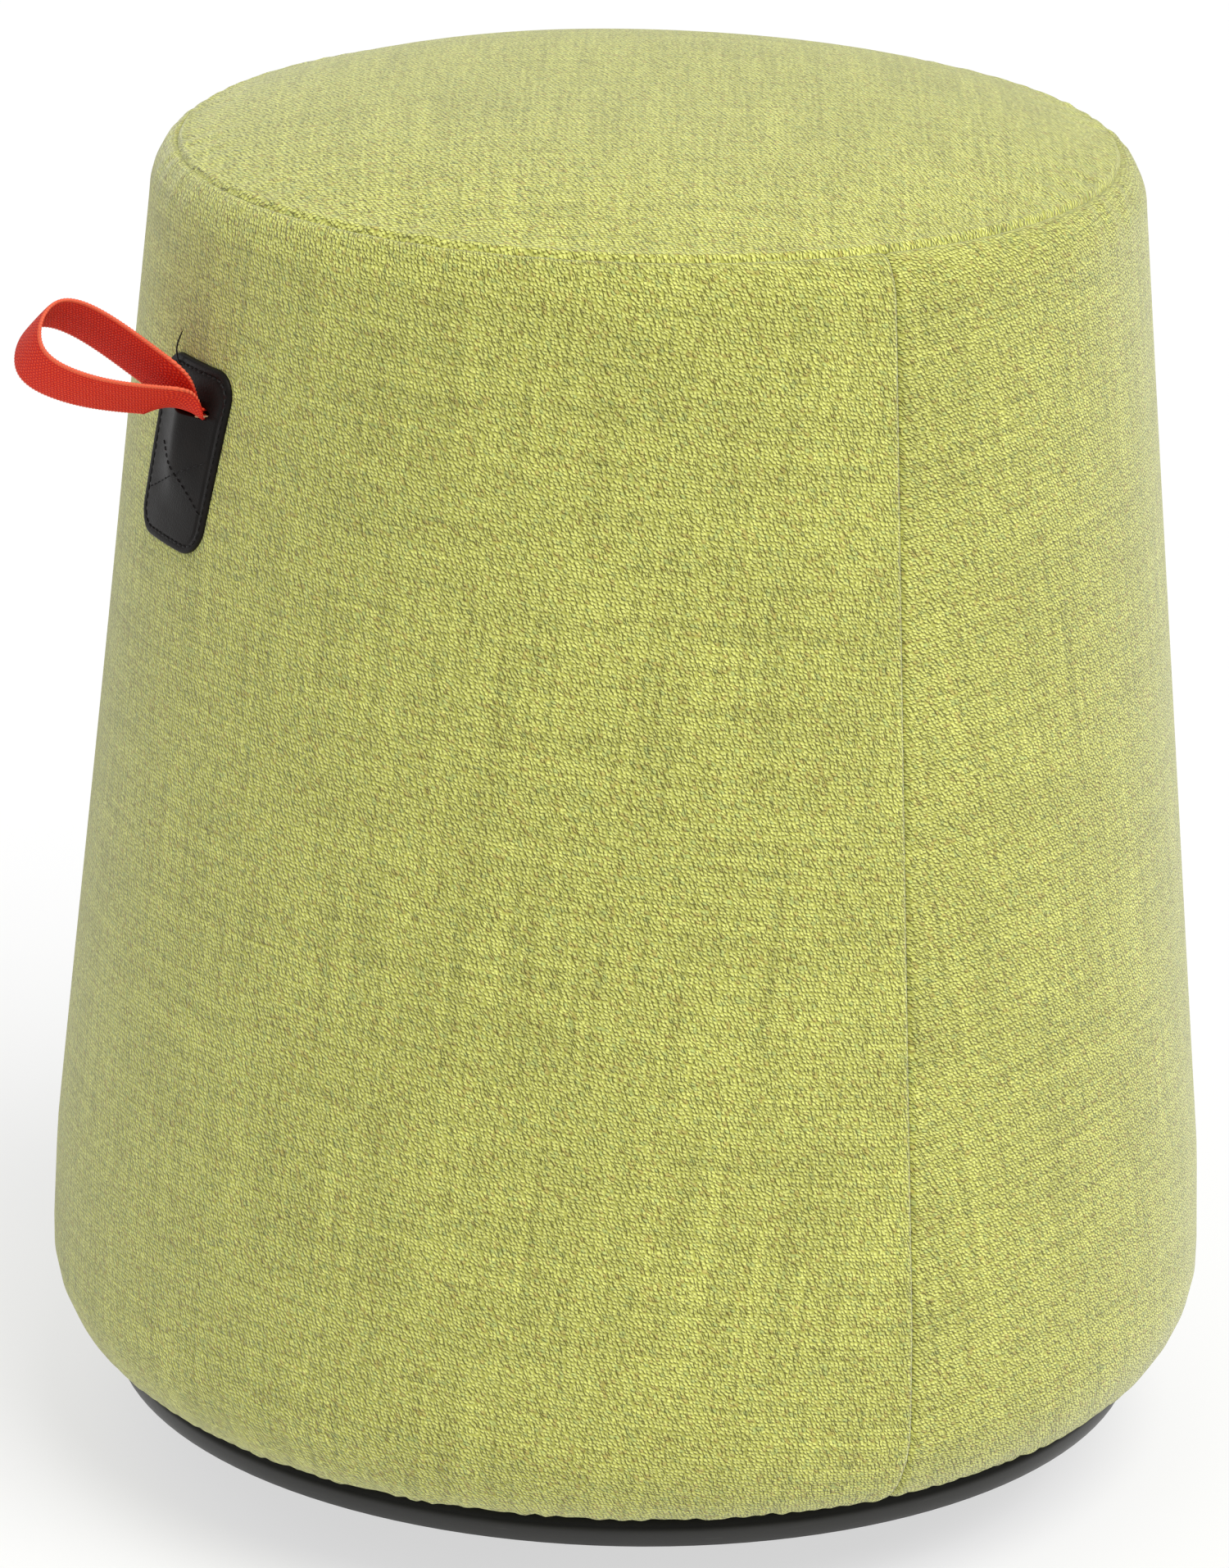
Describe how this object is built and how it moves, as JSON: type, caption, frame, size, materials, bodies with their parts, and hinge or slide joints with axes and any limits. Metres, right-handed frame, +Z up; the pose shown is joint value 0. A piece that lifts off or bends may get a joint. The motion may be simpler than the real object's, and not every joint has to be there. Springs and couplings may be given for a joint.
{
  "type": "upholstered rocking stool",
  "caption": "Round upholstered rocking stool: tapered fabric-covered foam body on a black domed base, with a webbing pull loop sewn under a leather patch near the top of its side.",
  "frame": {"origin": "centre of the flat face of the floor pad, on the stool's own axis", "axes": "+Z up along the stool's axis; -Y is the side that faces the viewer, with the pull loop 59.6 degrees round from it towards -X"},
  "size_m": [0.3781, 0.3748, 0.45],
  "materials": {
    "cover_fabric": "matte",
    "base_black": "satin",
    "pad_rubber": "matte",
    "zinc": "satin",
    "plywood": "matte",
    "pine": "matte",
    "fibreboard": "matte",
    "foam": "matte",
    "felt": "matte",
    "leather": "satin",
    "webbing": "matte",
    "thread": "matte"
  },
  "bodies": {
    "stool": {"backing_patch": "felt", "base_screws": "zinc", "base_tee_nuts": "zinc", "bottom_board": "plywood", "core_wrap": "fibreboard", "core_wrap_staples": "zinc", "cross_stitches": "thread", "floor_pad": "pad_rubber", "hem_staples": "zinc", "leather_patch": "leather", "lower_board_screws": "zinc", "patch_edge_stitches": "thread", "rocker_base": "base_black", "seat_board": "plywood", "seat_cover": "cover_fabric", "seat_foam": "foam", "side_cover_back": "cover_fabric", "side_cover_front": "cover_fabric", "side_foam": "foam", "upper_board_screws": "zinc", "upright_1": "pine", "upright_2": "pine", "upright_3": "pine", "upright_4": "pine", "webbing_tail": "webbing"},
    "loop": {"webbing_loop": "webbing"}
  },
  "joints": [
    {"name": "loop_swing", "type": "hinge", "parent": "stool", "child": "loop", "pos_m": [-0.14196, -0.08851, 0.3668], "axis": [0.506, -0.8625, 0], "range_deg": [-32, 74], "stiffness_Nm_per_rad": 0.12, "springref_deg": -1.15}
  ]
}
